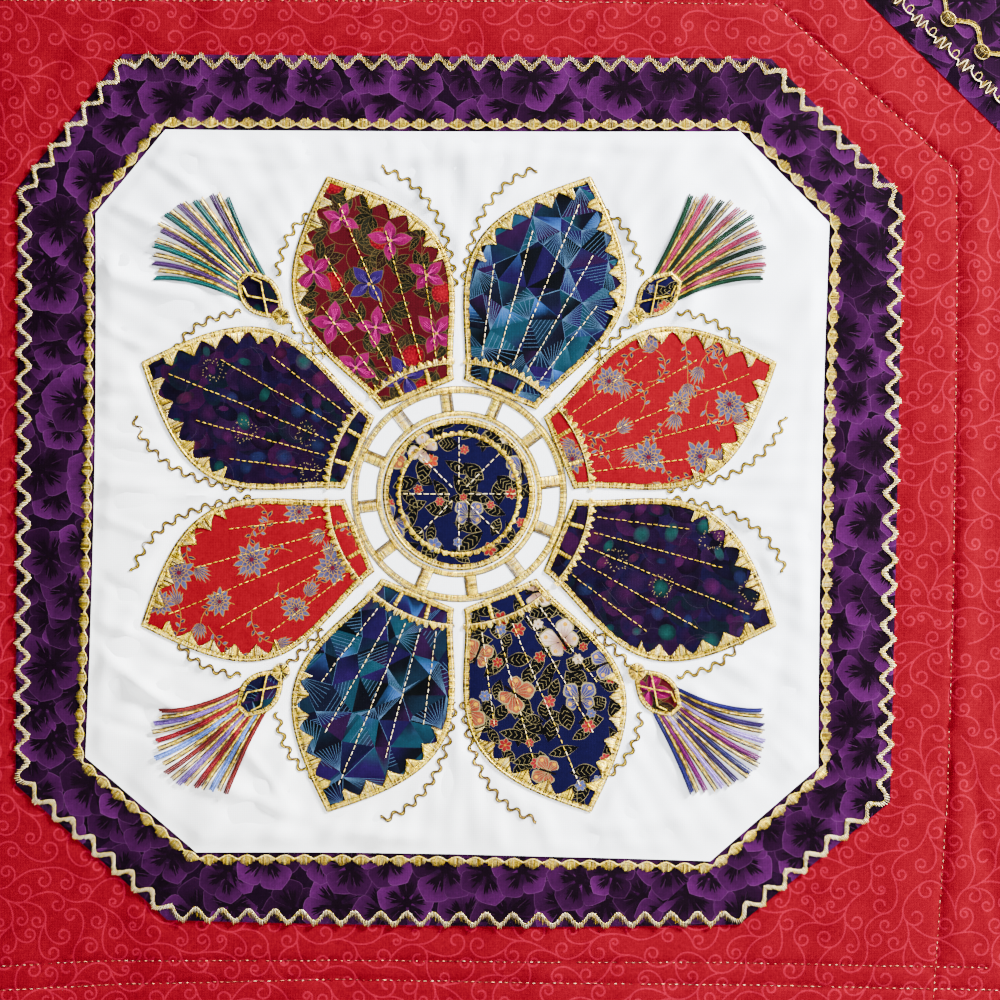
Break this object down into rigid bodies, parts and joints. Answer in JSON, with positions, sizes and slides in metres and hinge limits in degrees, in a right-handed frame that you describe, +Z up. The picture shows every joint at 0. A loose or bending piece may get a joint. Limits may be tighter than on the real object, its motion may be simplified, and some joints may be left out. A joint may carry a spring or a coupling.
{
  "type": "embroidered wall hanging",
  "caption": "Square quilted wall hanging: red scroll-print ground, purple eight-sided frame with gold embroidery, white panel with an appliqué rosette.",
  "frame": {"origin": "middle of the top edge at the back, where the wall holds the hanging", "axes": "+Z up, +X to the right seen from the front, -Y out of the embroidered face"},
  "size_m": [0.542, 0.0076, 0.5412],
  "materials": {
    "red_cotton": "printed quilting cotton, matt",
    "purple_cotton": "purple floral batik cotton, matt",
    "white_cotton": "plain white cotton, matt",
    "maroon_print": "maroon flower print cotton, matt",
    "teal_print": "blue and teal faceted print cotton, matt",
    "scarlet_print": "scarlet blossom print cotton, matt",
    "plum_print": "dark plum batik cotton, matt",
    "navy_print": "navy butterfly and blossom print cotton, matt",
    "gold_thread": "metallic gold embroidery thread, soft sheen",
    "colored_thread": "rayon embroidery thread in mixed colours, soft sheen"
  },
  "bodies": {
    "root": {"ground": "red_cotton", "frame_top": "purple_cotton", "frame_upper_right": "purple_cotton", "frame_right": "purple_cotton", "frame_lower_right": "purple_cotton", "frame_bottom": "purple_cotton", "frame_lower_left": "purple_cotton", "frame_left": "purple_cotton", "frame_upper_left": "purple_cotton", "corner_patch": "purple_cotton", "panel": "white_cotton", "petal_1": "maroon_print", "petal_2": "teal_print", "petal_3": "scarlet_print", "petal_4": "plum_print", "petal_5": "navy_print", "petal_6": "teal_print", "petal_7": "scarlet_print", "petal_8": "plum_print", "bud_1": "plum_print", "bud_2": "navy_print", "bud_3": "maroon_print", "bud_4": "teal_print", "hub": "navy_print"}
  },
  "joints": []
}
